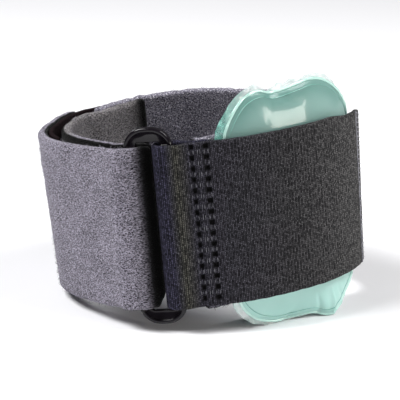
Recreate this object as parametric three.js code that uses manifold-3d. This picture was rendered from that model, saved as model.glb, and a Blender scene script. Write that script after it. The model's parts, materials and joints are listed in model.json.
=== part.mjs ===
// Tennis elbow strap: a padded loop closed by a plastic buckle, with an air pouch under black elastic.
// Millimetres. Inside the strap's own frame x runs to the right, y to the back and z along the strap's
// width. At the end the whole strap is set down on the ground as it would stand by itself.
import * as THREE from "three";
import { ConvexHull } from "three/addons/math/ConvexHull.js";
import { mergeVertices } from "three/addons/utils/BufferGeometryUtils.js";
import Module from "manifold-3d";

// Loop and straps
const loopWidth = 90.4;
const loopDepth = 76.9;
const strapWidth = 50.8;
const pullWidth = 50.2;
const liningWidth = 53.6;
const padThickness = 3.3;
const elasticThickness = 1.8;
const hookThickness = 1.5;
const clearance = 0.3;

// How the pull strap's outer layer lies: its widest distance from the inner layer, how far its top edge
// leans out, and how far the whole layer hangs lower.
const layerGap = 3.6;
const layerLean = 0.9;
const layerDrop = 0.5;

// Sewn seams and free ends. The lining's front end sags under the pouch, and the elastic's end stands
// off at the top.
const lapLength = 20;
const liningInset = 2;
const liningSag = 0.6;
const elasticLap = 6;
const elasticFlare = 1.2;
const strapEndInset = 4;
const tabReach = 8;
const tabSewn = 34;

// Buckle
const buckleHeight = 61.2;
const buckleCorner = 6.6;
const barWidth = 3.9;
const barThickness = 2.6;
const buckleWeb = 1.6;
const rimWidth = 1.4;
const crossBar = 2;
const barSoftening = 0.8;
const rimSoftening = 0.6;
const webSoftening = 0.3;
const slotPlay = 0.8;
const slotCorner = 0.8;
const foldPlay = 0.4;

// Length in which a strap eases back to its neighbour, past a buckle bar and past the end of a layer
const foldEase = 7;
const layerEase = 12;

// Air pouch: the inflated part, without its welded flange
const pouchLength = 51.6;
const pouchHeight = 74;
const pouchOutward = 4.2;
const pouchInward = 6.8;
const pouchFromStitches = 33.2;
const flangeWidth = 3.6;
const flangeThickness = 0.8;

// Sampling
const stationStep = 3.2;
const foldSteps = 8;
const pouchSpokes = 40;

// A smooth closed curve through points.
function closedCurve(points) {
  const corners = points.map((point) => new THREE.Vector3(...point));
  return new THREE.CatmullRomCurve3(corners, true, "centripetal");
}

// The loop line is the middle of the wall, seen from above and walked anticlockwise. Every strap is an
// offset of it. Columns: place, x as a share of loopWidth, y as a share of loopDepth.
const loopRows = [
  ["left bar", -0.213, -0.308],
  ["right bar", -0.093, -0.333],
  ["stitches", 0.006, -0.343],
  ["front", 0.142, -0.326],
  ["front right", 0.279, -0.267],
  ["right", 0.407, -0.179],
  ["bend start", 0.5, -0.06],
  ["bend", 0.536, 0.04],
  ["bend end", 0.53, 0.132],
  ["back right", 0.464, 0.28],
  ["far right", 0.343, 0.432],
  ["back", 0.186, 0.562],
  ["far back", 0.024, 0.652],
  ["lap edge", -0.198, 0.602],
  ["back left", -0.261, 0.55],
  ["tab tip", -0.332, 0.466],
  ["strap end", -0.402, 0.367],
  ["left back", -0.442, 0.234],
  ["left", -0.46, 0.116],
  ["left front", -0.445, 0.006],
  ["front left", -0.398, -0.095],
  ["fold start", -0.315, -0.213],
  ["fold", -0.254, -0.284],
];
const loopSamples = 1150;
const loopCurve = closedCurve(loopRows.map(([, x, y]) => [x * loopWidth, y * loopDepth, 0]));
loopCurve.arcLengthDivisions = loopSamples;
const loopLengths = loopCurve.getLengths();
const loopLength = loopLengths[loopSamples];

// Length walked along the loop line from the left bar to a named place.
function walkTo(place) {
  const row = loopRows.findIndex(([name]) => name === place);
  return loopLengths[Math.round((row / loopRows.length) * loopSamples)];
}

// A point that lies `offset` outside the loop line, with the direction that points out there.
function onLoop(along, offset) {
  const share = THREE.MathUtils.euclideanModulo(along, loopLength) / loopLength;
  const tangent = loopCurve.getTangentAt(share);
  const out = new THREE.Vector2(tangent.y, -tangent.x).normalize();
  const centre = loopCurve.getPointAt(share);
  return { at: new THREE.Vector2(centre.x, centre.y).addScaledVector(out, offset), out };
}

// Smooth value between the rows [share, value] of a short table.
function smoothTable(rows) {
  const curve = new THREE.CubicInterpolant(
    rows.map(([share]) => share),
    rows.map(([, value]) => value),
    1,
  );
  return (share) => curve.evaluate(THREE.MathUtils.clamp(share, rows[0][0], rows.at(-1)[0]))[0];
}

// One leg of a strap's middle line: stations from one place of the loop line to another, in walking
// order. offsetAt gives the distance outside the loop line at each place, leanAt tilts the strap's top
// edge outwards there and dropAt lowers the strap.
function leg(from, to, offsetAt, leanAt = () => 0, dropAt = () => 0) {
  const count = Math.max(2, Math.ceil(Math.abs(to - from) / stationStep));
  return Array.from({ length: count + 1 }, (_, i) => {
    const along = THREE.MathUtils.lerp(from, to, i / count);
    return { ...onLoop(along, offsetAt(along)), lean: leanAt(along), drop: dropAt(along) };
  });
}

// The half turn of a strap round a buckle bar, between its inner and its outer leg. `side` is 1 where it
// passes the bar's right side and -1 at its left.
function foldRound(along, radius, side) {
  const { at, out } = onLoop(along, 0);
  const forward = new THREE.Vector2(-out.y, out.x);
  const beyond = (barWidth - barThickness) / 2;
  return Array.from({ length: foldSteps + 1 }, (_, i) => {
    const angle = (Math.PI * i) / foldSteps;
    const point = at
      .clone()
      .addScaledVector(out, -radius * Math.cos(angle))
      .addScaledVector(forward, side * (beyond + radius * Math.sin(angle)));
    return { at: point, out, lean: 0, drop: 0 };
  });
}

// A closed body from rings of equally many points, each joined to the next, with flat ends.
function bodyFromRings(rings) {
  const size = rings[0].length;
  const index = [];
  rings.slice(1).forEach((_, r) => {
    for (let k = 0; k < size; k++) {
      const a = r * size + k;
      const b = r * size + ((k + 1) % size);
      index.push(a, a + size, b, b, a + size, b + size);
    }
  });
  const last = (rings.length - 1) * size;
  for (let k = 1; k < size - 1; k++) {
    index.push(0, k, k + 1);
    index.push(last, last + k + 1, last + k);
  }
  const positions = rings.flat().flatMap((p) => [p.x, p.y, p.z]);
  return new THREE.BufferGeometry()
    .setAttribute("position", new THREE.Float32BufferAttribute(positions, 3))
    .setIndex(index);
}

// A strap: its section is a bar with chamfered edges, swept through the stations.
function strap(stations, width, thickness, edge) {
  const half = thickness / 2;
  const top = width / 2;
  const quarter = [
    [half, top - edge],
    [half - edge, top],
  ];
  const section = [
    ...quarter,
    ...quarter.map(([a, b]) => [-a, b]).reverse(),
    ...quarter.map(([a, b]) => [-a, -b]),
    ...quarter.map(([a, b]) => [a, -b]).reverse(),
  ];
  const rings = stations.map(({ at, out, lean, drop }, i) => {
    const before = stations[Math.max(i - 1, 0)].at;
    const after = stations[Math.min(i + 1, stations.length - 1)].at;
    const along = after.clone().sub(before).normalize();
    return section.map(([a, b]) => {
      const point = at
        .clone()
        .add(new THREE.Vector2(along.y, -along.x).multiplyScalar(a))
        .addScaledVector(out, (lean * b) / top);
      return new THREE.Vector3(point.x, point.y, b - drop);
    });
  });
  return bodyFromRings(rings);
}

// Air pouch. A point of it is given by how far across the pouch it lies, -1 to 1, and by how far it is
// from the middle towards the weld, 0 to 1.
const pouchMiddle = walkTo("stitches") + pouchFromStitches;

function plump(share) {
  return Math.pow(Math.max(0, 1 - Math.pow(Math.abs(share), 2.6)), 0.55);
}

function slim(across) {
  return Math.sqrt(Math.max(0, 1 - Math.pow(Math.abs(across), 2.2)));
}

function acrossPouch(along) {
  return (along - pouchMiddle) / (pouchLength / 2);
}

// Depth that the lining has to leave behind the elastic for the pouch: a smooth arch a little longer
// than the pouch itself.
function pouchRoom(along) {
  const reach = 1.35;
  const easing = 0.3;
  const arch = Math.cos((Math.PI / 2) * THREE.MathUtils.clamp(acrossPouch(along) / reach, -2, 2));
  const eased = (arch + Math.hypot(arch, easing) + 1 - Math.hypot(1, easing)) / 2;
  return (pouchOutward + pouchInward + flangeThickness + 2 * clearance) * eased;
}

// Straps

// Radius of a strap's middle line round a buckle bar.
function foldRadius(thickness) {
  return barThickness / 2 + foldPlay + clearance + thickness / 2;
}

const leftBar = loopLength;
const rightBar = walkTo("right bar");
const padRest = clearance / 2 + padThickness / 2;
const elasticRest = clearance / 2 + elasticThickness / 2;
const returnEnd = pouchMiddle - pouchLength / 2 - flangeWidth - clearance;

// Share of the fold's extra radius that is left at a distance from the bar: all of it beside the bar.
function nearBar(distance, length) {
  return 1 - THREE.MathUtils.smoothstep(Math.abs(distance), barWidth / 2 + clearance, length);
}

function elasticPanel() {
  const radius = foldRadius(elasticThickness);
  const flareStart = walkTo("bend start");
  const end = walkTo("bend") + elasticLap;
  const restAt = (along) => elasticRest + (radius - elasticRest) * nearBar(along - rightBar, foldEase);
  const leanAt = (along) => (elasticFlare / 2) * THREE.MathUtils.smoothstep(along, flareStart, end);
  const stations = [
    ...leg(returnEnd, rightBar, (along) => -restAt(along)).slice(0, -1),
    ...foldRound(rightBar, radius, -1),
    ...leg(rightBar, end, (along) => restAt(along) + leanAt(along), leanAt).slice(1),
  ];
  return strap(stations, strapWidth, elasticThickness, elasticThickness / 4);
}

function backStrap() {
  const start = walkTo("stitches") - liningInset;
  const end = walkTo("lap edge") + lapLength;
  const offsetAt = (along) => {
    const overReturn = 1 - THREE.MathUtils.smoothstep(along, returnEnd, returnEnd + layerEase);
    return -padRest - (elasticThickness + clearance) * overReturn - pouchRoom(along);
  };
  const sagAt = (along) => 1 - THREE.MathUtils.smoothstep(along, start, pouchMiddle);
  const dropAt = (along) => (liningWidth - strapWidth) / 2 + liningSag * sagAt(along);
  const stations = leg(start, end, offsetAt, () => 0, dropAt);
  return strap(stations, liningWidth, padThickness, padThickness / 3);
}

// The pull strap's outer layer runs back from the left bar. Columns: share of the way from the bar to
// the strap's end, clear distance to the inner layer as a share of layerGap.
const outerGapAt = smoothTable([
  [0, 0.12],
  [0.18, 0.17],
  [0.34, 0.42],
  [0.46, 0.68],
  [0.6, 0.85],
  [0.78, 0.97],
  [1, 1.05],
]);
const outerLeanAt = smoothTable([
  [0, 0],
  [0.35, 0.3],
  [0.65, 1],
  [1, 0.3],
]);
const strapEnd = walkTo("strap end") - strapEndInset;

function outerShare(along) {
  return (leftBar - along) / (leftBar - strapEnd);
}

function outerLean(along) {
  return layerLean * outerLeanAt(outerShare(along));
}

function outerDrop(along) {
  return layerDrop * THREE.MathUtils.smoothstep(outerShare(along), 0, 0.2);
}

function pullStrap() {
  const radius = foldRadius(padThickness);
  const lapEdge = walkTo("lap edge");
  const innerOffset = (along) => {
    const lapEnd = lapEdge + lapLength;
    const lapped = 1 - THREE.MathUtils.smoothstep(along, lapEnd, lapEnd + layerEase);
    const fold = (radius - padRest) * nearBar(along - leftBar, foldEase);
    return -padRest - (padThickness + clearance) * lapped - fold;
  };
  const outerOffset = (along) =>
    padRest +
    layerGap * outerGapAt(outerShare(along)) +
    (radius - padRest - layerGap * outerGapAt(0)) * nearBar(along - leftBar, foldEase);
  const stations = [
    ...leg(lapEdge, leftBar, innerOffset).slice(0, -1),
    ...foldRound(leftBar, radius, 1),
    ...leg(leftBar, strapEnd, outerOffset, outerLean, outerDrop).slice(1),
  ];
  return strap(stations, pullWidth, padThickness, padThickness / 3);
}

// Hook tape: sewn to the inner face of the pull strap's end, its tip bends in to the inner layer.
function hookTab() {
  const touching = clearance / 2 + clearance + hookThickness / 2;
  const sewnOffset = (along) =>
    clearance / 2 + layerGap * outerGapAt(outerShare(along)) - clearance - hookThickness / 2;
  const tip = strapEnd - tabReach;
  const offsetAt = (along) =>
    THREE.MathUtils.lerp(
      touching,
      sewnOffset(Math.max(along, strapEnd)),
      THREE.MathUtils.smoothstep(along, tip, strapEnd),
    );
  const stations = leg(strapEnd + tabSewn, tip, offsetAt, outerLean, outerDrop);
  return strap(stations, pullWidth, hookThickness, hookThickness / 4);
}

// Buckle: one plate with a long slot, a raised rim round its outline and webs in its rounded ends.
const wasm = await Module();
wasm.setup();

function toSolid(geometry) {
  const bare = geometry.clone();
  bare.deleteAttribute("normal");
  bare.deleteAttribute("uv");
  const merged = mergeVertices(bare, 1e-4);
  return new wasm.Manifold(
    new wasm.Mesh({
      numProp: 3,
      vertProperties: merged.attributes.position.array,
      triVerts: new Uint32Array(merged.index.array),
    }),
  );
}

function fromSolid(solid) {
  const { vertProperties, triVerts } = solid.getMesh();
  return new THREE.BufferGeometry()
    .setAttribute("position", new THREE.BufferAttribute(vertProperties, 3))
    .setIndex(new THREE.BufferAttribute(triVerts, 1));
}

function roundedRectangle(width, height, radius, shape = new THREE.Shape()) {
  const x = width / 2;
  const y = height / 2;
  return shape
    .moveTo(-x + radius, -y)
    .lineTo(x - radius, -y)
    .absarc(x - radius, -y + radius, radius, -Math.PI / 2, 0)
    .lineTo(x, y - radius)
    .absarc(x - radius, y - radius, radius, 0, Math.PI / 2)
    .lineTo(-x + radius, y)
    .absarc(-x + radius, y - radius, radius, Math.PI / 2, Math.PI)
    .lineTo(-x, -y + radius)
    .absarc(-x + radius, -y + radius, radius, Math.PI, Math.PI * 1.5);
}

// A flat ring between two rounded rectangles, centred on z = 0, with softened edges.
function plateRing(outer, inner, thickness, soften) {
  const shape = roundedRectangle(...outer);
  shape.holes.push(roundedRectangle(...inner, new THREE.Path()));
  const plate = new THREE.ExtrudeGeometry(shape, {
    depth: thickness - 2 * soften,
    curveSegments: 6,
    bevelSize: soften,
    bevelThickness: soften,
    bevelOffset: -soften,
    bevelSegments: 2,
  });
  return toSolid(plate.translate(0, 0, soften - thickness / 2));
}

function buckle() {
  const left = onLoop(leftBar, 0).at;
  const right = onLoop(rightBar, 0).at;
  const width = left.distanceTo(right) + barWidth;
  const slotHeight = strapWidth + 2 * slotPlay;
  const slotWidth = width - 2 * barWidth;
  const outline = [width, buckleHeight, buckleCorner];
  const slot = [slotWidth, slotHeight, slotCorner];
  const inset = 2 * rimWidth;
  const insideRim = [width - inset, buckleHeight - inset, buckleCorner - rimWidth];
  const plate = plateRing(outline, slot, buckleWeb, webSoftening);
  const rim = plateRing(outline, insideRim, barThickness, rimSoftening);
  const frame = [width, slotHeight + 2 * crossBar, barWidth];
  const bars = plateRing(frame, slot, barThickness, barSoftening);
  const geometry = fromSolid(plate.add(rim).add(bars));
  const middle = left.clone().add(right).multiplyScalar(0.5);
  const turn = new THREE.Matrix4().makeRotationZ(Math.atan2(right.y - left.y, right.x - left.x));
  return geometry
    .applyMatrix4(new THREE.Matrix4().makeRotationX(Math.PI / 2))
    .applyMatrix4(turn)
    .translate(middle.x, middle.y, 0);
}

// The weld line of the pouch, walked anticlockwise from its left end as seen from outside. Columns:
// across as a share of half the length, up as a share of half the height, outward flare as a share of
// pouchOutward, flange as a share of flangeWidth.
const weldRows = [
  [-1, 0, 0, 1],
  [-0.98, -0.4, 0, 1],
  [-0.93, -0.72, 0, 0.8],
  [-0.78, -0.86, 0, 0.6],
  [-0.51, -0.945, 0, 0.3],
  [-0.19, -0.955, 0.05, 0.2],
  [0.06, -0.955, 0.4, 0.15],
  [0.27, -1, 0.8, 0.15],
  [0.42, -0.96, 0.85, 0.15],
  [0.6, -0.86, 0.6, 0.15],
  [0.8, -0.75, 0.3, 0.15],
  [0.96, -0.5, 0.1, 0.15],
  [1, 0, 0, 0.15],
  [0.99, 0.64, 0, 0.15],
  [0.86, 0.82, 0, 0.3],
  [0.62, 0.95, 0, 0.6],
  [0.38, 1, 0, 0.5],
  [0.08, 0.985, 0, 0.5],
  [-0.26, 0.96, 0, 0.3],
  [-0.47, 0.995, 0, 0.75],
  [-0.7, 0.945, 0, 0.7],
  [-0.89, 0.79, 0, 0.8],
  [-0.97, 0.65, 0, 1],
];
const weldCurve = closedCurve(weldRows.map(([across, up]) => [across, up, 0]));
const rimCurve = closedCurve(weldRows.map(([, , flare, flange]) => [flare, flange, 0]));

// Rings of the pouch from its outer face round the flange to its inner face. Columns: share of the way
// to the weld, flange share, face (1 outside, -1 inside).
const pouchRings = [
  [0.3, 0, 1],
  [0.55, 0, 1],
  [0.75, 0, 1],
  [0.9, 0, 1],
  [1, 0, 1],
  [1, 1, 1],
  [1, 1, -1],
  [1, 0, -1],
  [0.9, 0, -1],
  [0.75, 0, -1],
  [0.55, 0, -1],
  [0.3, 0, -1],
];

function aircell() {
  const rings = pouchRings.map(([share, flange, face]) =>
    Array.from({ length: pouchSpokes }, (_, k) => {
      const weld = weldCurve.getPoint(k / pouchSpokes);
      const rim = rimCurve.getPoint(k / pouchSpokes);
      const across = weld.x * share;
      const along = pouchMiddle + (across * pouchLength) / 2;
      const sideways = new THREE.Vector2((weld.x * pouchLength) / 2, (weld.y * pouchHeight) / 2);
      sideways.setLength(flange * rim.y * flangeWidth);
      const middle = -(clearance + flangeThickness / 2 + pouchOutward * plump(across) * slim(across));
      const bulge = face > 0 ? pouchOutward : pouchInward;
      const up = (share * weld.y * pouchHeight) / 2 + sideways.y;
      let offset =
        middle +
        rim.x * pouchOutward * share ** 4 +
        face * (flangeThickness / 2 + bulge * plump(share) * slim(across));
      if (Math.abs(up) < strapWidth / 2 + 1) offset = Math.min(offset, -clearance);
      const { at } = onLoop(along + sideways.x, offset);
      return new THREE.Vector3(at.x, at.y, up);
    }),
  );
  return bodyFromRings(rings);
}

// Materials
function finish(color, roughness, metalness = 0) {
  return new THREE.MeshStandardMaterial({ color, roughness, metalness });
}
const padFinish = finish(0x7f7b89, 0.95);
const elasticFinish = finish(0x303033, 0.85);
const hookFinish = finish(0x161416, 0.9);
const buckleFinish = finish(0x1f1a1f, 0.3);
const filmFinish = finish(0x8fc4ba, 0.25);

// Sub-parts: name, geometry, finish, density in kg per cubic metre
const cloth = 300;
const plastic = 1100;
const pieces = [
  ["elastic_panel", elasticPanel(), elasticFinish, cloth],
  ["buckle", buckle(), buckleFinish, plastic],
  ["pull_strap", pullStrap(), padFinish, cloth],
  ["hook_tab", hookTab(), hookFinish, cloth],
  ["back_strap", backStrap(), padFinish, cloth],
  ["aircell", aircell(), filmFinish, plastic],
];
const elbowStrap = new THREE.Group();
for (const [name, geometry, material] of pieces) {
  const mesh = new THREE.Mesh(geometry, material);
  mesh.name = name;
  elbowStrap.add(mesh);
}

// How the strap stands by itself: on the face of its convex hull that points down most and has the
// centre of mass above it.
function centreOfMass() {
  const sum = new THREE.Vector3();
  let total = 0;
  for (const [, geometry, , density] of pieces) {
    const corner = (i) =>
      new THREE.Vector3().fromBufferAttribute(geometry.attributes.position, geometry.index.getX(i));
    for (let i = 0; i < geometry.index.count; i += 3) {
      const [a, b, c] = [corner(i), corner(i + 1), corner(i + 2)];
      const mass = (density * a.dot(new THREE.Vector3().crossVectors(b, c))) / 6;
      total += mass;
      sum.addScaledVector(a.add(b).add(c), mass / 4);
    }
  }
  return sum.divideScalar(total);
}

function hullFaces() {
  const hull = new ConvexHull().setFromObject(elbowStrap);
  return hull.faces.map((face) => {
    const corners = [face.edge, face.edge.next, face.edge.prev].map((edge) => edge.head().point);
    return { normal: face.normal, triangle: new THREE.Triangle(...corners) };
  });
}

const massCentre = centreOfMass();
const restingFace = hullFaces()
  .filter(({ normal, triangle }) => {
    const plane = new THREE.Plane().setFromNormalAndCoplanarPoint(normal, triangle.a);
    return triangle.containsPoint(plane.projectPoint(massCentre, new THREE.Vector3()));
  })
  .reduce((best, face) => (face.normal.z < best.normal.z ? face : best));
elbowStrap.quaternion.setFromUnitVectors(restingFace.normal, new THREE.Vector3(0, 0, -1));
elbowStrap.updateMatrixWorld(true);
const box = new THREE.Box3().setFromObject(elbowStrap, true);
const centre = box.getCenter(new THREE.Vector3());
elbowStrap.position.set(-centre.x, -centre.y, -box.min.z);

export default elbowStrap;
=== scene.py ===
import json
import math
import random

import bmesh
import bpy
import numpy as np
from mathutils import Euler, Matrix, Vector, noise


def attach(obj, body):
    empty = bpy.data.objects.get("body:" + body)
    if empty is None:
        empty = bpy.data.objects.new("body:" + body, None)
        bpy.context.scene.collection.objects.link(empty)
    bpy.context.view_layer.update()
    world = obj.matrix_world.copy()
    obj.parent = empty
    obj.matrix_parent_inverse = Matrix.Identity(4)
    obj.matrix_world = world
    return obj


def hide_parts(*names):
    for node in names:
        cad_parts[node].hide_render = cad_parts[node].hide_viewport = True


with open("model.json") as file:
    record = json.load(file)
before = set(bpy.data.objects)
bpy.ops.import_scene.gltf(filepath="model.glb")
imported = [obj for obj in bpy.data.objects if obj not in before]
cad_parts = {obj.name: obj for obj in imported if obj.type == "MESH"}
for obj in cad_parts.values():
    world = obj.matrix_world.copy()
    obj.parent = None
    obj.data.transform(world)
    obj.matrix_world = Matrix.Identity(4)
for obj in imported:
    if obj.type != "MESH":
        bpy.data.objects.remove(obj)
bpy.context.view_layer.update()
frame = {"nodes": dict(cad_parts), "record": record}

# How the strap stands.
# The closed loop leans a little, because it stands on the back strap's edge and on the pouch's lower end.
# In its own frame x runs to the right, y to the back and z along the webbing's width, in millimetres.
MM = 0.001
mounts = {mount["name"]: mount for mount in frame["record"]["mounts"]}
lean = Vector((0, 0, -1)).rotation_difference(Vector(mounts["standing_edge"]["axis"]))


def own_box(node):
    """Lowest and highest corner of a CAD node along the strap's own directions, in millimetres."""
    upright = lean.inverted()
    corners = np.array([upright @ v.co for v in frame["nodes"][node].data.vertices]) / MM
    return corners.min(0), corners.max(0)


# The loop line.
# It is the middle of the wall, walked anticlockwise from the buckle's left bar as seen from above.
# Columns: place, x as a share of loop_width, y as a share of loop_depth.
loop_width = 90.4
loop_depth = 76.9
loop_rows = [
    ("left bar", -0.213, -0.308),
    ("right bar", -0.093, -0.333),
    ("stitches", 0.006, -0.343),
    ("front", 0.142, -0.326),
    ("front right", 0.279, -0.267),
    ("right", 0.407, -0.179),
    ("bend start", 0.5, -0.06),
    ("bend", 0.536, 0.04),
    ("bend end", 0.53, 0.132),
    ("back right", 0.464, 0.28),
    ("far right", 0.343, 0.432),
    ("back", 0.186, 0.562),
    ("far back", 0.024, 0.652),
    ("lap edge", -0.198, 0.602),
    ("back left", -0.261, 0.55),
    ("tab tip", -0.332, 0.466),
    ("strap end", -0.402, 0.367),
    ("left back", -0.442, 0.234),
    ("left", -0.46, 0.116),
    ("left front", -0.445, 0.006),
    ("front left", -0.398, -0.095),
    ("fold start", -0.315, -0.213),
    ("fold", -0.254, -0.284),
]
SPAN_STEPS = 50


def closed_curve(points):
    """A smooth closed curve through points (a centripetal Catmull-Rom), as SPAN_STEPS points to a span."""
    share = np.arange(SPAN_STEPS)[:, None] / SPAN_STEPS
    corners = np.array(points, float)
    spans = []
    for i in range(len(corners)):
        before, start, end, after = (corners[(i + k) % len(corners)] for k in (-1, 0, 1, 2))
        d0, d1, d2 = (
            np.linalg.norm(b - a) ** 0.5 for a, b in ((before, start), (start, end), (end, after))
        )
        d1 = d1 or 1.0
        d0, d2 = d0 or d1, d2 or d1
        leave = d1 * ((start - before) / d0 - (end - before) / (d0 + d1) + (end - start) / d1)
        reach = d1 * ((end - start) / d1 - (after - start) / (d1 + d2) + (after - end) / d2)
        square = -3 * start + 3 * end - 2 * leave - reach
        cube = 2 * start - 2 * end + leave + reach
        spans.append(start + share * (leave + share * (square + share * cube)))
    return np.vstack(spans)


loop = closed_curve([(x * loop_width, y * loop_depth) for _, x, y in loop_rows])
steps = np.linalg.norm(np.diff(np.vstack([loop, loop[:1]]), axis=0), axis=1)
walked = np.concatenate([[0], np.cumsum(steps)])
loop_length = float(walked[-1])
heading = np.roll(loop, -1, axis=0) - np.roll(loop, 1, axis=0)


def round_the_loop(along, values):
    around = np.vstack([values, values[:1]])
    return np.array([np.interp(along % loop_length, walked, column) for column in around.T])


def walk_to(place):
    return float(walked[[name for name, _, _ in loop_rows].index(place) * SPAN_STEPS])


def on_loop(along, offset):
    """A point `offset` outside the loop line, and the direction that points out there."""
    tangent = Vector(round_the_loop(along, heading)).normalized()
    out = Vector((tangent.y, -tangent.x))
    return Vector(round_the_loop(along, loop)) + out * float(offset), out


left_bar = loop_length
right_bar = walk_to("right bar")
buckle_middle = (on_loop(left_bar, 0)[0] + on_loop(right_bar, 0)[0]) / 2
buckle_low, buckle_high = own_box("buckle")
shift = Vector((buckle_low + buckle_high) / 2) - buckle_middle.to_3d()
placing = lean.to_matrix().to_4x4() @ Matrix.Scale(MM, 4) @ Matrix.Translation(shift)

# The camera.
# It looks along +y and a little down on the strap, from half a metre away, and is rolled a little.
focal_length = 144
camera_distance = 501.2
camera_pitch = math.radians(15.89)
camera_roll = math.radians(5.26)
camera = bpy.data.objects.new("camera", bpy.data.cameras.new("camera"))
bpy.context.scene.collection.objects.link(camera)
camera.data.lens = focal_length
camera.data.sensor_width = 36
camera.data.clip_start = 0.01
look = Vector((0, math.cos(camera_pitch), -math.sin(camera_pitch)))
turn = Euler((math.pi / 2 - camera_pitch, 0, 0)).to_matrix() @ Matrix.Rotation(-camera_roll, 3, "Z")
spot = placing @ (-camera_distance * look)
camera.matrix_world = Matrix.Translation(spot) @ (lean.to_matrix() @ turn).to_4x4()
bpy.context.scene.camera = camera

# The floor and the light.
# A white table in a light tent: a weak even light, and two boxes high at the left and the right.
# A small bright box stands where the pouch mirrors it as a pale patch.


class Finish:
    """A node material, with quick ways to add nodes to its Principled shader."""

    def __init__(self, name):
        self.material = bpy.data.materials.new(name)
        self.material.use_nodes = True
        self.tree = self.material.node_tree

    def plug(self, node, inputs):
        """Sets inputs, or links those that are sockets. A key is an input's name, or _ and its number."""
        for key, value in inputs.items():
            socket = node.inputs[int(key[1:]) if key[0] == "_" else key.replace("_", " ")]
            if isinstance(value, bpy.types.NodeSocket):
                self.tree.links.new(value, socket)
            else:
                socket.default_value = value

    def add(self, kind, settings=None, **inputs):
        node = self.tree.nodes.new(kind)
        for key, value in (settings or {}).items():
            setattr(node, key, value)
        self.plug(node, inputs)
        return node

    def place(self):
        """Where a point lies on the object, in metres."""
        return self.add("ShaderNodeTexCoord").outputs["Object"]

    def cloth(self):
        """Where a point lies on the flat cloth, in millimetres."""
        return self.add("ShaderNodeUVMap", {"uv_map": "cloth"}).outputs["UV"]

    def part(self, vector, axis):
        return self.add("ShaderNodeSeparateXYZ", Vector=vector).outputs[axis]

    def attribute(self, name):
        return self.add("ShaderNodeAttribute", {"attribute_name": name}).outputs["Fac"]

    def noise(self, place, scale, detail=2, **inputs):
        node = self.add("ShaderNodeTexNoise", Vector=place, Scale=scale, Detail=detail, **inputs)
        return node.outputs["Fac"]

    def maths(self, operation, a, b=0.0, c=0.0):
        return self.add("ShaderNodeMath", {"operation": operation}, _0=a, _1=b, _2=c).outputs[0]

    def span(self, value, *ends):
        """Value mapped from the first two ends to the last two, or to 0 and 1."""
        names = ("From_Min", "From_Max", "To_Min", "To_Max")
        return self.add("ShaderNodeMapRange", Value=value, **dict(zip(names, ends))).outputs["Result"]

    def ramp(self, value, *stops):
        """Colours between stops, each a place and a colour."""
        node = self.add("ShaderNodeValToRGB", Fac=value)
        first, last = node.color_ramp.elements
        for stop, (place, colour) in ((first, stops[0]), (last, stops[-1])):
            stop.position, stop.color = place, (*colour, 1)
        for place, colour in stops[1:-1]:
            node.color_ramp.elements.new(place).color = (*colour, 1)
        return node.outputs["Color"]

    def mix(self, share, colour, other, blend="MIX"):
        settings = {"data_type": "RGBA", "blend_type": blend}
        return self.add("ShaderNodeMix", settings, _0=share, _6=colour, _7=other).outputs[2]

    def dim(self, colour, share):
        return self.add("ShaderNodeVectorMath", {"operation": "SCALE"}, _0=colour, Scale=share).outputs[0]

    def bump(self, height, strength, distance, invert=False):
        node = self.add("ShaderNodeBump", {"invert": invert}, Height=height)
        self.plug(node, {"Strength": strength, "Distance": distance})
        return node.outputs["Normal"]

    def shade(self, **inputs):
        self.plug(self.tree.nodes["Principled BSDF"], inputs)
        return self.material


def floor_finish():
    finish = Finish("white table")
    grain = finish.noise(finish.place(), 400)
    return finish.shade(
        Base_Color=(0.9, 0.9, 0.92, 1),
        Roughness=0.7,
        Specular_IOR_Level=0.2,
        Normal=finish.bump(grain, 0.05, 0.0002),
    )


def new_object(name, bm):
    mesh = bpy.data.meshes.new(name)
    bm.to_mesh(mesh)
    bm.free()
    made = bpy.data.objects.new(name, mesh)
    bpy.context.scene.collection.objects.link(made)
    return made


floor_reach = 3
bm = bmesh.new()
bmesh.ops.create_grid(bm, x_segments=4, y_segments=4, size=floor_reach)
floor = new_object("floor", bm)
floor.data.materials.append(floor_finish())


def softbox(name, at, towards, width, height, watts, colour=(1, 1, 1)):
    lamp = bpy.data.lights.new(name, "AREA")
    lamp.shape = "RECTANGLE"
    lamp.size = width
    lamp.size_y = height
    lamp.energy = watts
    lamp.color = colour
    box = bpy.data.objects.new(name, lamp)
    bpy.context.scene.collection.objects.link(box)
    box.location = at
    box.rotation_euler = (Vector(towards) - Vector(at)).to_track_quat("-Z", "Y").to_euler()


strap_foot = (0, 0, 0.02)
pouch_top = (0.025, -0.025, 0.065)
high_box = 0.42
softbox("left box", (-0.55, -0.12, 0.85), strap_foot, high_box, high_box, 12)
softbox("right box", (0.55, -0.14, 0.8), strap_foot, high_box, high_box, 7.5)
softbox("patch box", (0.97, -0.53, 0.23), pouch_top, 0.27, 0.22, 4, (1, 0.96, 0.88))
tent_light = 0.07
world = bpy.data.worlds.new("light tent")
world.use_nodes = True
tent = world.node_tree
tent.nodes["Background"].inputs["Color"].default_value = (1, 1, 1, 1)
seen = tent.nodes.new("ShaderNodeLightPath").outputs["Is Camera Ray"]
strength = tent.nodes.new("ShaderNodeMapRange")
strength.inputs["To Min"].default_value = tent_light
strength.inputs["To Max"].default_value = 1.0
tent.links.new(seen, strength.inputs["Value"])
tent.links.new(strength.outputs["Result"], tent.nodes["Background"].inputs["Strength"])
bpy.context.scene.world = world
bpy.context.scene.view_settings.view_transform = "Standard"

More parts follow.
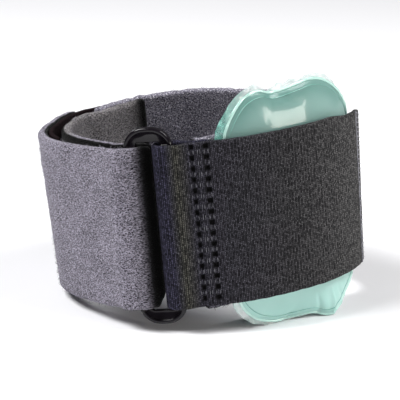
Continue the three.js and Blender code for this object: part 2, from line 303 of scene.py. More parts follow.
# The straps' common making.
# Each strap is one flat length of cloth, wrapped into a flat tube round its wall and laid along the
# loop. Its UV map holds millimetres along the strap and across it, for weaves that follow the cloth.
strap_width = 50.8
clearance = 0.3
pad_thickness = 3.3
elastic_thickness = 1.8
bar_width = 3.9
bar_thickness = 2.6
fold_play = 0.4
fold_ease = 7
layer_ease = 12
end_thinning = 0.8
end_narrowing = 0.6
sway_pace = 0.16
rim_pace = 0.35
rim_zone = 3
elastic_rest = clearance / 2 + elastic_thickness / 2
pad_rest = clearance / 2 + pad_thickness / 2


def smoothstep(x, low, high):
    share = min(max((x - low) / (high - low), 0), 1)
    return share * share * (3 - 2 * share)


def fold_radius(thickness):
    return bar_thickness / 2 + fold_play + clearance + thickness / 2


def near_bar(distance, length):
    return 1 - smoothstep(abs(distance), bar_width / 2 + clearance, length)


def leg(start, end, offset_at, lean_at=lambda _: 0, drop_at=lambda _: 0, step=0.7):
    """Stations of a strap's middle line: point, outward direction, lean of the top edge, drop."""
    count = max(2, math.ceil(abs(end - start) / step))
    places = [start + (end - start) * i / count for i in range(count + 1)]
    return [(*on_loop(at, offset_at(at)), lean_at(at), drop_at(at)) for at in places]


def fold_round(along, radius, side, count=24):
    """The half turn round a buckle bar. side is 1 at the bar's right and -1 at its left."""
    at, out = on_loop(along, 0)
    forward = Vector((-out.y, out.x))
    beyond = (bar_width - bar_thickness) / 2
    turns = [math.pi * i / count for i in range(count + 1)]
    return [
        (
            at - radius * math.cos(a) * out + side * (beyond + radius * math.sin(a)) * forward,
            out,
            0,
            0,
        )
        for a in turns
    ]


def flat_section(width, thickness, rounding, across_step, corner_steps=4):
    """The outline of a strap's section from the middle of its outer face: out, up, and length walked."""
    half, top = thickness / 2, width / 2
    count = round((width - 2 * rounding) / across_step)
    face = [(half, -top + rounding + (width - 2 * rounding) * i / count) for i in range(count + 1)]
    corner = [
        (
            half - rounding * (1 - math.cos(a)),
            top - rounding * (1 - math.sin(a)),
        )
        for a in (math.pi / 2 * i / corner_steps for i in range(1, corner_steps))
    ]
    rim = [(half - rounding, top)]
    if half - rounding > 0.05:
        rim.append((rounding - half, top))
    side = face + corner + rim
    back = [(-a, b) for a, b in reversed(face + corner)]
    under = [(-a, -b) for a, b in corner + rim]
    outline = side + back + under + [(a, -b) for a, b in reversed(corner)] + side[:1]
    steps = [math.dist(a, b) for a, b in zip(outline, outline[1:])]
    return outline, [0.0, *np.cumsum(steps)]


def strap_mesh(
    name, stations, width, thickness, rounding, across_step=0.9, wobble=0.1, press=None, pit=None
):
    """A closed strap along stations, with softly rounded edges and ends. press moves a point that a
    neighbour pushes on and gives the painted light and shade there, and pit how deep a stitch pulls the
    outer face in. A vertex attribute keeps that for the finish: above nought is painted shade, in the
    stitch pits and where press gives it, below nought is painted light."""
    outline, around = flat_section(width, thickness, rounding, across_step)
    line = [station[0] for station in stations]
    lengths = [0.0, *np.cumsum([(b - a).length for a, b in zip(line, line[1:])])]
    bm = bmesh.new()
    uv = bm.loops.layers.uv.new("cloth")
    painted_light_and_shade = bm.verts.layers.float.new("painted_light_and_shade")
    bmesh.ops.create_grid(bm, x_segments=len(stations) - 1, y_segments=len(outline) - 1, size=1)
    spots = {}
    for v in bm.verts:
        i = round((v.co.x + 1) / 2 * (len(stations) - 1))
        j = round((v.co.y + 1) / 2 * (len(outline) - 1))
        spots[v] = (i, j)
        at, out, lean_out, drop = stations[i]
        along = (line[min(i + 1, len(line) - 1)] - line[max(i - 1, 0)]).normalized()
        normal = Vector((along.y, -along.x))
        a, b = outline[j]
        end = min(lengths[i], lengths[-1] - lengths[i], rounding)
        inset = rounding - math.sqrt(max(rounding**2 - (rounding - end) ** 2, 0))
        a *= 1 - end_thinning * inset / (thickness / 2)
        b *= 1 - end_narrowing * inset / (width / 2)
        sway = wobble * noise.noise(Vector((lengths[i] * sway_pace, b * sway_pace, 7.0)))
        rim = wobble * 1.5 * noise.noise(Vector((lengths[i] * rim_pace, 40.0 if b > 0 else 90.0, 3.0)))
        deep = pit(at, b) if pit and a * normal.dot(out) > thickness * 0.49 else 0
        # Painted shade in a stitch pit: the deeper the pit, the darker the colour.
        v[painted_light_and_shade] = min(deep / pit_depth, 1) if deep else 0
        flat = at + (a + sway) * normal + out * (2 * lean_out * b / width - deep)
        edge = smoothstep(abs(b), width / 2 - rim_zone, width / 2)
        spot = Vector((flat.x, flat.y, b - drop + rim * edge))
        # press also gives the painted light and shade for the finish.
        if press:
            spot, painted_shading = press(spot, lengths[i], a, b)
            v[painted_light_and_shade] = max(v[painted_light_and_shade], painted_shading) if pit else painted_shading
        v.co = placing @ spot
    for face in bm.faces:
        for corner in face.loops:
            i, j = spots[corner.vert]
            corner[uv].uv = (lengths[i], around[j])
    bmesh.ops.remove_doubles(bm, verts=bm.verts, dist=1e-7)
    bmesh.ops.holes_fill(bm, edges=[e for e in bm.edges if e.is_boundary])
    bmesh.ops.recalc_face_normals(bm, faces=bm.faces)
    for face in bm.faces:
        face.smooth = True
    return new_object(name, bm)


def scene_piece(made, material, node):
    made.data.materials.append(material)
    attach(made, "root")
    if node:
        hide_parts(node)


# The elastic panel.
# Black two inch woven elastic, ribbed across. It is folded round the right bar, its short return leg is
# caught by the stitches, and it covers the pouch and ends lapped over the right bend.
pouch_from_stitches = 33.2
pouch_length = 51.6
flange_width = 3.6
elastic_lap = 0.4
elastic_flare = 1.2
pouch_centre = walk_to("stitches") + pouch_from_stitches
return_end = pouch_centre - pouch_length / 2 - flange_width - clearance
elastic_end = walk_to("bend") + elastic_lap
elastic_radius = fold_radius(elastic_thickness)
rib_pitch = 0.5
wale_pitch = 1.05
pick_pitch = 0.65
front_start = return_end - right_bar + math.pi * elastic_radius - 2


def elastic_offset(along):
    return elastic_rest + (elastic_radius - elastic_rest) * near_bar(along - right_bar, fold_ease)


def elastic_lean(along):
    return elastic_flare / 2 * smoothstep(along, walk_to("bend start"), elastic_end)


def elastic_finish():
    """Woven ribs: rows of short threads, each of its own brightness, in navy, grey and dull yellow-green
    tones by the place, and painted light that brightens them towards the right bend.
    """
    finish = Finish("ribbed black elastic")
    maths = finish.maths
    cloth = finish.cloth()
    along = finish.part(cloth, "X")
    drift = finish.noise(cloth, 0.35)
    rib_place = maths("MULTIPLY", maths("MULTIPLY_ADD", drift, 0.25, along), 1 / rib_pitch)
    rib_count = maths("FLOOR", rib_place)
    stagger = maths("MULTIPLY", rib_count, 0.37)
    pick_place = maths("MULTIPLY_ADD", finish.part(cloth, "Y"), 1 / pick_pitch, stagger)
    cell = finish.add("ShaderNodeCombineXYZ", X=rib_count, Y=maths("FLOOR", pick_place)).outputs[0]
    chance = finish.add("ShaderNodeTexWhiteNoise", {"noise_dimensions": "2D"}, Vector=cell).outputs["Value"]
    rib = maths("SINE", maths("MULTIPLY", maths("FRACT", rib_place), math.pi))
    pick = maths("SINE", maths("MULTIPLY", maths("FRACT", pick_place), math.pi))
    thread = maths("MULTIPLY", rib, maths("POWER", pick, 0.6))
    fibre = finish.noise(cloth, 3.4, 3, Roughness=0.75)
    bright = maths("MULTIPLY", maths("POWER", chance, 1.4), thread)
    wale = maths("SINE", maths("MULTIPLY", rib_place, math.tau * rib_pitch / wale_pitch))
    woven = maths("MULTIPLY_ADD", rib, 0.14, maths("MULTIPLY", bright, 0.45))
    ribbed = maths("MULTIPLY_ADD", wale, 0.045, woven)
    level = maths("MULTIPLY_ADD", fibre, 0.45, maths("ADD", ribbed, 0.07))
    black = finish.ramp(level, (0.34, (0.003, 0.003, 0.004)), (0.85, (0.115, 0.113, 0.12)))
    # Tones along the front, from the fold to the right bend. Past the middle the ramp brightens the elastic
    # up to two and a half times: painted light from the right box, not the elastic's own colour.
    tone_and_painted_light = finish.ramp(
        maths("DIVIDE", maths("SUBTRACT", along, front_start), 100.0),
        (0.03, (0.56, 0.54, 0.86)),
        (0.06, (0.95, 0.95, 0.74)),
        (0.1, (0.62, 0.6, 0.76)),
        (0.4, (0.8, 0.79, 0.79)),
        (0.7, (1.5, 1.5, 1.4)),
        (0.9, (2.6, 2.58, 2.5)),
    )
    # Painted shade in the stitch pits: the colour darkens to nearly black where the pits pull the face in.
    painted_pit_shade = maths("SUBTRACT", 1.0, maths("MULTIPLY", finish.attribute("painted_light_and_shade"), 0.96))
    return finish.shade(
        Base_Color=finish.dim(finish.mix(1.0, black, tone_and_painted_light, "MULTIPLY"), painted_pit_shade),
        Roughness=0.85,
        Specular_IOR_Level=0.12,
        Normal=finish.bump(maths("MULTIPLY_ADD", fibre, 0.7, thread), 0.6, 0.0002),
    )


# The stitches pull the elastic in, in two columns of square pits, where the mesh is finer.
column_spots = (-1.85, 2.45)
pit_rows = 15
pit_pitch = 3.35
pit_top = 24.3
pit_size = 1.75
pit_depth = 0.55
pit_slope = (-0.3, 0.15)
pit_zone = 6
fine_before = 4
fine_after = 4.5
fine_step = 0.3


def pit_at(at, up):
    middle, out = on_loop(walk_to("stitches"), elastic_offset(walk_to("stitches")))
    along = (at - middle).dot(Vector((-out.y, out.x)))
    if abs(along) > pit_zone:
        return 0
    row = min(max(round((pit_top - up) / pit_pitch), 0), pit_rows - 1)
    high = abs(up - (pit_top - row * pit_pitch))
    wide = min(abs(along - spot) for spot in column_spots)
    edge = max(high, wide) - pit_size / 2
    return pit_depth * (1 - smoothstep(edge, *pit_slope))


end_droop = 1.5
droop_from = 12
droop_to = 1
elastic_rounding = 0.6
fine_start = walk_to("stitches") - fine_before
fine_end = walk_to("stitches") + fine_after
elastic_stations = [
    *leg(return_end, right_bar, lambda s: -elastic_offset(s))[:-1],
    *fold_round(right_bar, elastic_radius, -1),
    *leg(right_bar, fine_start, elastic_offset)[1:],
    *leg(fine_start, fine_end, elastic_offset, step=fine_step)[1:],
    *leg(fine_end, elastic_end, lambda s: elastic_offset(s) + elastic_lean(s), elastic_lean)[1:],
]


def droop_end(spot, length, a, b):
    """The overlock draws the upper corner of the panel's cut end down a little."""
    whole = front_start + elastic_end - right_bar
    low = smoothstep(length, whole - droop_from, whole - droop_to) * smoothstep(b, 0, strap_width / 2)
    return spot - Vector((0, 0, end_droop * low)), 0


elastic = strap_mesh(
    "elastic_webbing",
    elastic_stations,
    strap_width,
    elastic_thickness,
    elastic_rounding,
    across_step=0.38,
    press=droop_end,
    pit=pit_at,
)
scene_piece(elastic, elastic_finish(), "elastic_panel")

# The pull strap.
# Grey foam laminate with brushed loop cloth on both faces. It is sewn to the back strap, goes out
# through the buckle's slot, turns round the left bar and is pressed back onto itself.
pull_width = 50.2
layer_gap = 3.6
layer_lean = 0.9
layer_drop = 0.5
lap_length = 20
strap_end_inset = 4
strap_end = walk_to("strap end") - strap_end_inset
pull_radius = fold_radius(pad_thickness)
pad_rounding = 1.3
# How the outer layer stands off and leans out from the fold (0) to its free end (1), as shares.
outer_gap_rows = [
    (0, 0.12), (0.18, 0.17), (0.34, 0.42), (0.46, 0.68), (0.6, 0.85), (0.78, 0.97), (1, 1.05)
]
outer_lean_rows = [(0, 0), (0.35, 0.3), (0.65, 1), (1, 0.3)]


def from_rows(rows, share):
    """Smooth value between the rows of a short table."""
    share = min(max(share, rows[0][0]), rows[-1][0])
    reach = 0.06
    shares, values = zip(*rows)
    return float(np.mean([np.interp(share + reach * k, shares, values) for k in (-1, -0.5, 0, 0.5, 1)]))


def outer_share(along):
    return (left_bar - along) / (left_bar - strap_end)


def outer_lean(along):
    return layer_lean * from_rows(outer_lean_rows, outer_share(along))


def outer_drop(along):
    return layer_drop * smoothstep(outer_share(along), 0, 0.2)


def pull_inner(along):
    lap_end = walk_to("lap edge") + lap_length
    lapped = 1 - smoothstep(along, lap_end, lap_end + layer_ease)
    fold = (pull_radius - pad_rest) * near_bar(along - left_bar, fold_ease)
    return -pad_rest - (pad_thickness + clearance) * lapped - fold


def pull_outer(along):
    gap = layer_gap * from_rows(outer_gap_rows, outer_share(along))
    nearest = layer_gap * outer_gap_rows[0][1]
    return pad_rest + gap + (pull_radius - pad_rest - nearest) * near_bar(along - left_bar, fold_ease)


def laminate_finish(name, dark, light, flecks=0.0, painted_bounce_length=-9):
    """Brushed loop cloth: short curls that lie along the strap, in speckled greys, and stray bright loops.
    Its first millimetres, as many as the length argument gives, are painted a darker dull yellow-green:
    painted shade with warm bounce light. Where that length is below nought, nothing is. The vertex
    attribute adds painted shade and painted light, and the strap's first millimetres get a painted shadow."""
    finish = Finish(name)
    cloth = finish.cloth()
    along = finish.part(cloth, "X")
    laid = finish.add("ShaderNodeMapping", Vector=cloth, Scale=(1.7, 2.7, 1)).outputs["Vector"]
    pile = finish.noise(laid, 1.25, 4, Roughness=0.75, Distortion=0.5)
    curls = finish.add("ShaderNodeTexVoronoi", {"feature": "SMOOTH_F1"}, Vector=laid, Scale=1.3)
    mixed = finish.maths("MULTIPLY_ADD", curls.outputs["Distance"], 0.3, pile)
    level = finish.maths("MULTIPLY_ADD", finish.noise(cloth, 0.13), 0.09, mixed)
    stray = finish.span(finish.noise(cloth, 1.9, Roughness=0.6), 0.57, 0.68, 0, flecks)
    grey = finish.mix(stray, finish.ramp(level, (0.57, dark), (0.81, light)), (0.5, 0.48, 0.52, 1))
    # Painted warm bounce light in shade: the first stretch is tinted yellow-green and darkened.
    painted_bounce = finish.span(along, painted_bounce_length + 4, painted_bounce_length - 4)
    tinted = finish.mix(painted_bounce, grey, (0.78, 0.78, 0.66, 1), "MULTIPLY")
    # Painted shadow at the strap's start, the dark line along the lap edge.
    painted_start_shadow = finish.span(along, 0.5, 1.7, 0.9, -1)
    painted_shading = finish.maths("MAXIMUM", finish.attribute("painted_light_and_shade"), painted_start_shadow)
    # Painted shade dims the colour down to black, and painted light brightens it up to twice.
    return finish.shade(
        Base_Color=finish.dim(tinted, finish.span(painted_shading, -1, 1, 2, 0)),
        Roughness=0.95,
        Specular_IOR_Level=0.05,
        Sheen_Weight=0.12,
        Sheen_Roughness=0.4,
        Normal=finish.bump(mixed, 0.9, 0.0004),
    )


pull_stations = [
    *leg(walk_to("lap edge"), left_bar, pull_inner)[:-1],
    *fold_round(left_bar, pull_radius, 1),
    *leg(left_bar, strap_end, pull_outer, outer_lean, outer_drop)[1:],
]
left_at, fold_out = on_loop(left_bar, 0)
right_at = on_loop(right_bar, 0)[0]
fold_edge = left_at.x + bar_width / 2 + pull_radius + pad_thickness / 2 - bar_thickness / 2
# What grows towards the fold's edge. Columns: how much, and where it starts and ends before the edge.
roll_rows = [(1.1, 15, 7.5), (1.4, 8.5, 1)]
# Painted shade that darkens the fold's pile towards the groove, where the slot's shade falls.
fold_shade_rows = [(0.45, 11, 4.5), (0.55, 6.4, 3.2)]
beside_rows = [(1, 4.2, 0)]
fold_closes = 0.6
fold_opens = -0.9
fold_closes_up = (-24.2, -21)
# Width and length of the painted shade on the layers' facing top edges.
gap_shade_rim = 2.5
gap_shade_length = 55


def towards_edge(x, rows):
    return sum(size * smoothstep(x, fold_edge - start, fold_edge - end) for size, start, end in rows)


def roll_fold_with_painted_shade(spot, length, a, b):
    """The fold rolls in towards the slot and closes on the elastic's fold except at its lower corner.
    Painted shade darkens it towards its edge, where the groove lies in shade, and both layers' top edges
    get painted shade where they face each other across the dark gap between them."""
    outside = max((Vector((spot.x, spot.y)) - left_at).dot(fold_out), 0)
    rolled = towards_edge(spot.x, roll_rows) * min(outside / pull_radius, 1)
    closed = smoothstep(spot.z, *fold_closes_up)
    sideways = (fold_closes * closed + fold_opens * (1 - closed)) * towards_edge(spot.x, beside_rows)
    moved = Vector((sideways, 0, 0)) - fold_out.to_3d() * rolled
    folded = left_bar - walk_to("lap edge")
    # Painted shade along both layers' top edges, where the gap between them lies in shade.
    if a > 0.5 and b > pull_width / 2 - gap_shade_rim and length > folded - gap_shade_length:
        return spot + moved, 1
    return spot + moved, towards_edge(spot.x, fold_shade_rows)


fibre_steps = 3
fibre_length = 0.9
fibre_width = 0.07
fibre_bend = 0.8
fibre_rise = 0.55
fibre_taper = 0.7
fibre_root = 0.03
fibre_shade_limit = 0.35


def loose_fibres(name, cloth, count, seed):
    """Stray loops of the brushed face: thin bent ribbons that stand off the cloth."""
    chance = random.Random(seed)
    mesh = cloth.data
    painted_shading = mesh.attributes["painted_light_and_shade"].data
    # No loose fibres where the painted shade is deep, in the dark groove and the gap between layers.
    areas = np.cumsum([face.area * (painted_shading[face.vertices[0]].value < fibre_shade_limit) for face in mesh.polygons])
    bm = bmesh.new()
    bmesh.ops.create_grid(bm, x_segments=2 * count - 1, y_segments=fibre_steps, size=1)
    between = [
        face for face in bm.faces
        if round((face.calc_center_median().x + 1) / 2 * (2 * count - 1) - 0.5) % 2
    ]
    bmesh.ops.delete(bm, geom=between, context="FACES")
    fibres = {}
    for v in bm.verts:
        column = round((v.co.x + 1) / 2 * (2 * count - 1))
        share = (v.co.y + 1) / 2
        if column // 2 not in fibres:
            face = mesh.polygons[int(np.searchsorted(areas, chance.random() * areas[-1]))]
            lying = face.normal.orthogonal()
            lying.rotate(Matrix.Rotation(chance.random() * math.tau, 3, face.normal))
            aside = face.normal.cross(lying)
            size = fibre_length * MM * (0.5 + chance.random())
            fibres[column // 2] = (face.center.copy(), face.normal.copy(), lying, aside, size)
        base, up, lying, aside, size = fibres[column // 2]
        rise = math.sin(share * math.pi * fibre_bend) * size * fibre_rise
        side = (column % 2 - 0.5) * fibre_width * MM * (1 - fibre_taper * share)
        v.co = base + up * (rise - fibre_root * MM) + lying * (share * size) + aside * side
    scene_piece(new_object(name, bm), fibre_finish(), None)


def fibre_finish():
    finish = Finish("loose fibres")
    tone = finish.noise(finish.place(), 900)
    return finish.shade(
        Base_Color=finish.ramp(tone, (0.35, (0.05, 0.047, 0.058)), (0.7, (0.42, 0.4, 0.47))),
        Roughness=0.9,
        Specular_IOR_Level=0.1,
    )


pull = strap_mesh(
    "pull_strap_pad", pull_stations, pull_width, pad_thickness, pad_rounding, wobble=0.22, press=roll_fold_with_painted_shade
)
pull_cloth = laminate_finish(
    "grey loop cloth",
    (0.006, 0.005, 0.008),
    (0.47, 0.44, 0.53),
    painted_bounce_length=walk_to("left front") - walk_to("lap edge"),
)
scene_piece(pull, pull_cloth, "pull_strap")
loose_fibres("pull_strap_fuzz", pull, 11000, 3)

# The hook tab.
# Black hook tape, sewn inside the pull strap's free end. Its bare tip is pressed onto the inner layer.
hook_thickness = 1.5
tab_reach = 8
tab_sewn = 34
tab_tip = strap_end - tab_reach


def hook_offset(along):
    touching = 2 * clearance - clearance / 2 + hook_thickness / 2
    at = max(along, strap_end)
    gap = layer_gap * from_rows(outer_gap_rows, outer_share(at))
    sewn = clearance / 2 + gap - clearance - hook_thickness / 2
    return touching + (sewn - touching) * smoothstep(along, tab_tip, strap_end)


def hook_finish():
    finish = Finish("black hook tape")
    hooks = finish.add("ShaderNodeTexVoronoi", Vector=finish.cloth(), Scale=1.1, Randomness=0.35)
    hooks = hooks.outputs["Distance"]
    return finish.shade(
        Base_Color=finish.ramp(hooks, (0, (0.014, 0.006, 0.008)), (1, (0.002, 0.002, 0.002))),
        Roughness=0.8,
        Specular_IOR_Level=0.1,
        Normal=finish.bump(hooks, 0.9, 0.0004, invert=True),
    )


hook_rounding = 0.5
hook_stations = leg(strap_end + tab_sewn, tab_tip, hook_offset, outer_lean, outer_drop)
hook = strap_mesh("hook_tape", hook_stations, pull_width, hook_thickness, hook_rounding)
scene_piece(hook, hook_finish(), "hook_tab")

# The back strap.
# The same laminate. It carries the pull strap at the lap, goes round the back and the right bend, and
# lines the pouch from behind up to the stitches.
lining_width = 53.6
lining_inset = 2
lining_sag = 0.6
pouch_outward = 4.2
pouch_inward = 6.8
flange_thickness = 0.8


def pouch_room(along):
    reach, easing = 1.35, 0.3
    across = (along - pouch_centre) / (pouch_length / 2)
    arch = math.cos(math.pi / 2 * min(max(across / reach, -2), 2))
    eased = (arch + math.hypot(arch, easing) + 1 - math.hypot(1, easing)) / 2
    return (pouch_outward + pouch_inward + flange_thickness + 2 * clearance) * eased


def lining_offset(along):
    over_return = 1 - smoothstep(along, return_end, return_end + layer_ease)
    return -pad_rest - (elastic_thickness + clearance) * over_return - pouch_room(along)


lining_start = walk_to("stitches") - lining_inset
edge_rise = 2.6
# How dark the painted shade and how bright the painted highlight on the back strap's top rim are.
painted_rim_shade = 0.93
painted_rim_light = 0.8
edge_from = 1.3
edge_to = 0.3


def lining_drop(along):
    sag = 1 - smoothstep(along, lining_start, pouch_centre)
    return (lining_width - strap_width) / 2 + lining_sag * sag


def raise_edge(spot, length, a, b):
    """The top edge stands a little over the elastic at the right bend, and its rim there gets painted
    shade, for the dark gap by the overlock. Elsewhere its rim gets a painted highlight, as if the brushed
    nap caught the light."""
    along = lining_start + length
    bend = smoothstep(along, walk_to("right"), walk_to("bend"))
    bend *= 1 - smoothstep(along, walk_to("bend end"), walk_to("back right") + 5)
    top = smoothstep(b, 0, lining_width / 2)
    # Painted shade on the rim at the bend, painted highlight on the rim elsewhere.
    rim = smoothstep(b, lining_width / 2 - edge_from, lining_width / 2 - edge_to)
    return spot + Vector((0, 0, edge_rise * bend * top)), rim * (painted_rim_shade * bend - painted_rim_light * (1 - bend))


back_end = walk_to("lap edge") + lap_length
back_stations = leg(lining_start, back_end, lining_offset, drop_at=lining_drop)
back = strap_mesh(
    "back_strap_pad", back_stations, lining_width, pad_thickness, pad_rounding, wobble=0.3, press=raise_edge
)
# A darker copy of the same cloth: painted shade for the inside of the loop, which the lamps light less.
shaded_back_cloth = laminate_finish(
    "grey loop cloth, painted shaded for the back", (0.009, 0.008, 0.012), (0.21, 0.2, 0.245), flecks=1.0, painted_bounce_length=-50
)
scene_piece(back, shaded_back_cloth, "back_strap")
loose_fibres("back_strap_fuzz", back, 9000, 5)

# The buckle.
# One glossy black moulding: two bars for the straps, a long slot between them, and a thin web inside a
# raised rim at each rounded end.
buckle_height = 61.2
buckle_corner = 6.6
buckle_web = 1.6
rim_width = 1.4
slot_play = 0.8
slot_corner = 0.8
rim_rounding = 0.62
web_rounding = 0.3
core_width = bar_width - 0.4
core_inset = 0.1


def buckle_finish():
    finish = Finish("glossy black moulding")
    place = finish.place()
    flow = finish.noise(place, 160)
    scuffs = finish.noise(place, 900, 4, Roughness=0.7)
    return finish.shade(
        Base_Color=finish.ramp(flow, (0, (0.005, 0.004, 0.006)), (1, (0.01, 0.008, 0.011))),
        Roughness=finish.span(scuffs, 0.35, 0.7, 0.1, 0.2),
        Normal=finish.bump(flow, 0.15, 0.0002),
        Specular_IOR_Level=0.2,
        Coat_Weight=0.12,
        Coat_Roughness=0.06,
    )


def rounded_loop(bm, width, height, corner, segments=48):
    """A circle pulled apart into a rounded rectangle, lying in x and z."""
    upright = Matrix.Rotation(math.pi / 2, 4, "X")
    ring = bmesh.ops.create_circle(bm, segments=segments, radius=corner, matrix=upright)["verts"]
    for v in ring:
        for axis, size in ((0, width), (2, height)):
            if abs(v.co[axis]) > corner * 1e-3:
                v.co[axis] += math.copysign(size / 2 - corner, v.co[axis])
    return ring


def plate_ring(name, outer, inner, thickness, rounding):
    """A flat ring between two rounded rectangles, with rounded edges."""
    bm = bmesh.new()
    rounded_loop(bm, *outer)
    rounded_loop(bm, *inner)
    bmesh.ops.bridge_loops(bm, edges=bm.edges[:])
    grown = bmesh.ops.extrude_face_region(bm, geom=bm.faces[:])["geom"]
    far = [g for g in grown if isinstance(g, bmesh.types.BMVert)]
    bmesh.ops.translate(bm, verts=far, vec=(0, thickness, 0))
    bmesh.ops.translate(bm, verts=bm.verts, vec=(0, -thickness / 2, 0))
    bmesh.ops.recalc_face_normals(bm, faces=bm.faces)
    sharp = [e for e in bm.edges if e.calc_face_angle(0) > math.radians(60)]
    bmesh.ops.bevel(bm, geom=sharp, offset=rounding, segments=4, profile=0.5, affect="EDGES", material=-1)
    for face in bm.faces:
        face.smooth = True
    return new_object(name, bm)


buckle_width = (left_at - right_at).length + bar_width
slot_height = strap_width + 2 * slot_play
outline = (buckle_width, buckle_height, buckle_corner)
slot = (buckle_width - 2 * bar_width, slot_height, slot_corner)
inside_rim = (buckle_width - 2 * rim_width, buckle_height - 2 * rim_width, buckle_corner - rim_width)
buckle = plate_ring("buckle_moulding", outline, inside_rim, bar_thickness, rim_rounding)


def bar_core(name, side):
    """The thick part of a bar, which the straps hide."""
    bm = bmesh.new()
    size = Matrix.Diagonal((core_width, bar_thickness, slot_height - 2 * slot_corner, 1))
    middle = Matrix.Translation((side * (slot[0] / 2 + core_width / 2 + core_inset), 0, 0))
    bmesh.ops.create_cube(bm, size=1, matrix=middle @ size)
    bmesh.ops.bevel(
        bm, geom=bm.edges[:], offset=slot_corner, segments=4, profile=0.5, affect="EDGES", material=-1
    )
    return new_object(name, bm)


for name, extra in (
    ("web", plate_ring("web", outline, slot, buckle_web, web_rounding)),
    ("left bar", bar_core("left bar", -1)),
    ("right bar", bar_core("right bar", 1)),
):
    union = buckle.modifiers.new(name, "BOOLEAN")
    union.operation = "UNION"
    union.object = extra
    bpy.context.view_layer.objects.active = buckle
    bpy.ops.object.modifier_apply(modifier=union.name)
    bpy.data.objects.remove(extra)
buckle_turn = math.atan2(right_at.y - left_at.y, right_at.x - left_at.x)
buckle_place = Matrix.Translation(buckle_middle.to_3d()) @ Matrix.Rotation(buckle_turn, 4, "Z")
buckle.data.transform(placing @ buckle_place)
scene_piece(buckle, buckle_finish(), "buckle")

# The air pouch.
# A bladder of soft green film, welded along a bright bead, with a clear crinkled flange outside the
# weld. It is pressed between the elastic and the lining and swells above and below them.
pouch_height = 74
film_half = 0.2
pucker_height = 0.03
pucker_count = 41
# Columns of the weld: across and up as shares of the pouch's half size, and how far it flares out from
# its middle. The last one only paces the curve of the third.
weld_rows = [
    (-1, 0, 0, 1),
    (-0.98, -0.4, 0, 1),
    (-0.93, -0.72, 0, 0.8),
    (-0.78, -0.86, 0, 0.6),
    (-0.51, -0.945, 0, 0.3),
    (-0.19, -0.955, 0.05, 0.2),
    (0.06, -0.955, 0.4, 0.15),
    (0.27, -1, 0.8, 0.15),
    (0.42, -0.96, 0.85, 0.15),
    (0.6, -0.86, 0.6, 0.15),
    (0.8, -0.75, 0.3, 0.15),
    (0.96, -0.5, 0.1, 0.15),
    (1, 0, 0, 0.15),
    (0.99, 0.64, 0, 0.15),
    (0.86, 0.82, 0, 0.3),
    (0.62, 0.95, 0, 0.6),
    (0.38, 1, 0, 0.5),
    (0.08, 0.985, 0, 0.5),
    (-0.26, 0.96, 0, 0.3),
    (-0.47, 0.995, 0, 0.75),
    (-0.7, 0.945, 0, 0.7),
    (-0.89, 0.79, 0, 0.8),
    (-0.97, 0.65, 0, 1),
]
weld_line = closed_curve([(across, up) for across, up, _, _ in weld_rows])
weld_rim = closed_curve([(flare, pace) for _, _, flare, pace in weld_rows])


def plump(share):
    return max(0, 1 - abs(share) ** 2.6) ** 0.55


def slim(across):
    return math.sqrt(max(0, 1 - abs(across) ** 2.2))


def round_weld(turn, values):
    """Value at a share `turn` of the way round the weld."""
    spot = (turn % 1) * len(values)
    i = int(spot)
    return (values[i] + (spot - i) * (values[(i + 1) % len(values)] - values[i])).tolist()


# Creases and ridges of the outer film: how high (below nought for a crease), half width, and the points
# that it follows, as millimetres along the strap from the pouch's middle and up.
film_folds = [
    (-0.28, 2.6, [(-7, 36.5), (-4, 34), (0, 32.2), (4, 31.6)]),
    (-0.12, 1.3, [(-7.5, 36), (-9, 30), (-12, 26)]),
    (-0.5, 1.3, [(3, -36.5), (3.6, -33), (2.5, -29)]),
    (0.7, 1.2, [(8, -37), (8.6, -33), (8, -27)]),
    (-0.4, 1.0, [(-8, -36), (-7, -33.5), (-3, -31)]),
    (-0.3, 0.8, [(13, -33), (11.5, -30), (11.5, -27)]),
]


def fold_height(x, up):
    """Height that the creases and ridges add to the outer film at a point."""
    total = 0
    spot = Vector((x, up, 0))
    for height, half_width, path in film_folds:
        near = 1e9
        for share, (a, b) in enumerate(zip(path, path[1:])):
            start, end = Vector((*a, 0)), Vector((*b, 0))
            t = min(max((spot - start).dot(end - start) / (end - start).length_squared, 0), 1)
            fade = 1 - (share + t) / (len(path) - 1)
            away = (spot - start.lerp(end, t)).length
            near = min(near, away + (1 - math.sqrt(fade)) * half_width * 1.5)
        total += height * math.exp(-((near / half_width) ** 2) * 1.4)
    return total


def pouch_point(turn, share, face, sideways=0.0, lift=0.0):
    """A point of the pouch: how far round and towards the weld, on its outer (1) or inner (-1) face.
    sideways lies past the weld and lift off the film, in millimetres."""
    across, up = round_weld(turn, weld_line)
    flare, _ = round_weld(turn, weld_rim)
    reach = Vector((across * pouch_length / 2, up * pouch_height / 2))
    past = reach.normalized() * sideways
    x = across * share
    middle = -(clearance + flange_thickness / 2 + pouch_outward * plump(x) * slim(x))
    bulge = pouch_outward if face > 0 else pouch_inward
    offset = middle + flare * pouch_outward * share**4
    offset += face * (film_half + bulge * plump(share) * slim(x)) + lift
    height = share * reach.y + past.y
    swing = 3 * math.sin(turn * math.tau * 5)
    offset += pucker_height * share**14 * math.sin(turn * math.tau * pucker_count + swing)
    if face > 0:
        offset += fold_height(share * reach.x, height)
    if abs(height) < strap_width / 2 + 1:
        offset = min(offset, -clearance)
    at, _ = on_loop(pouch_centre + share * reach.x + past.x, offset)
    return placing @ Vector((at.x, at.y, height))


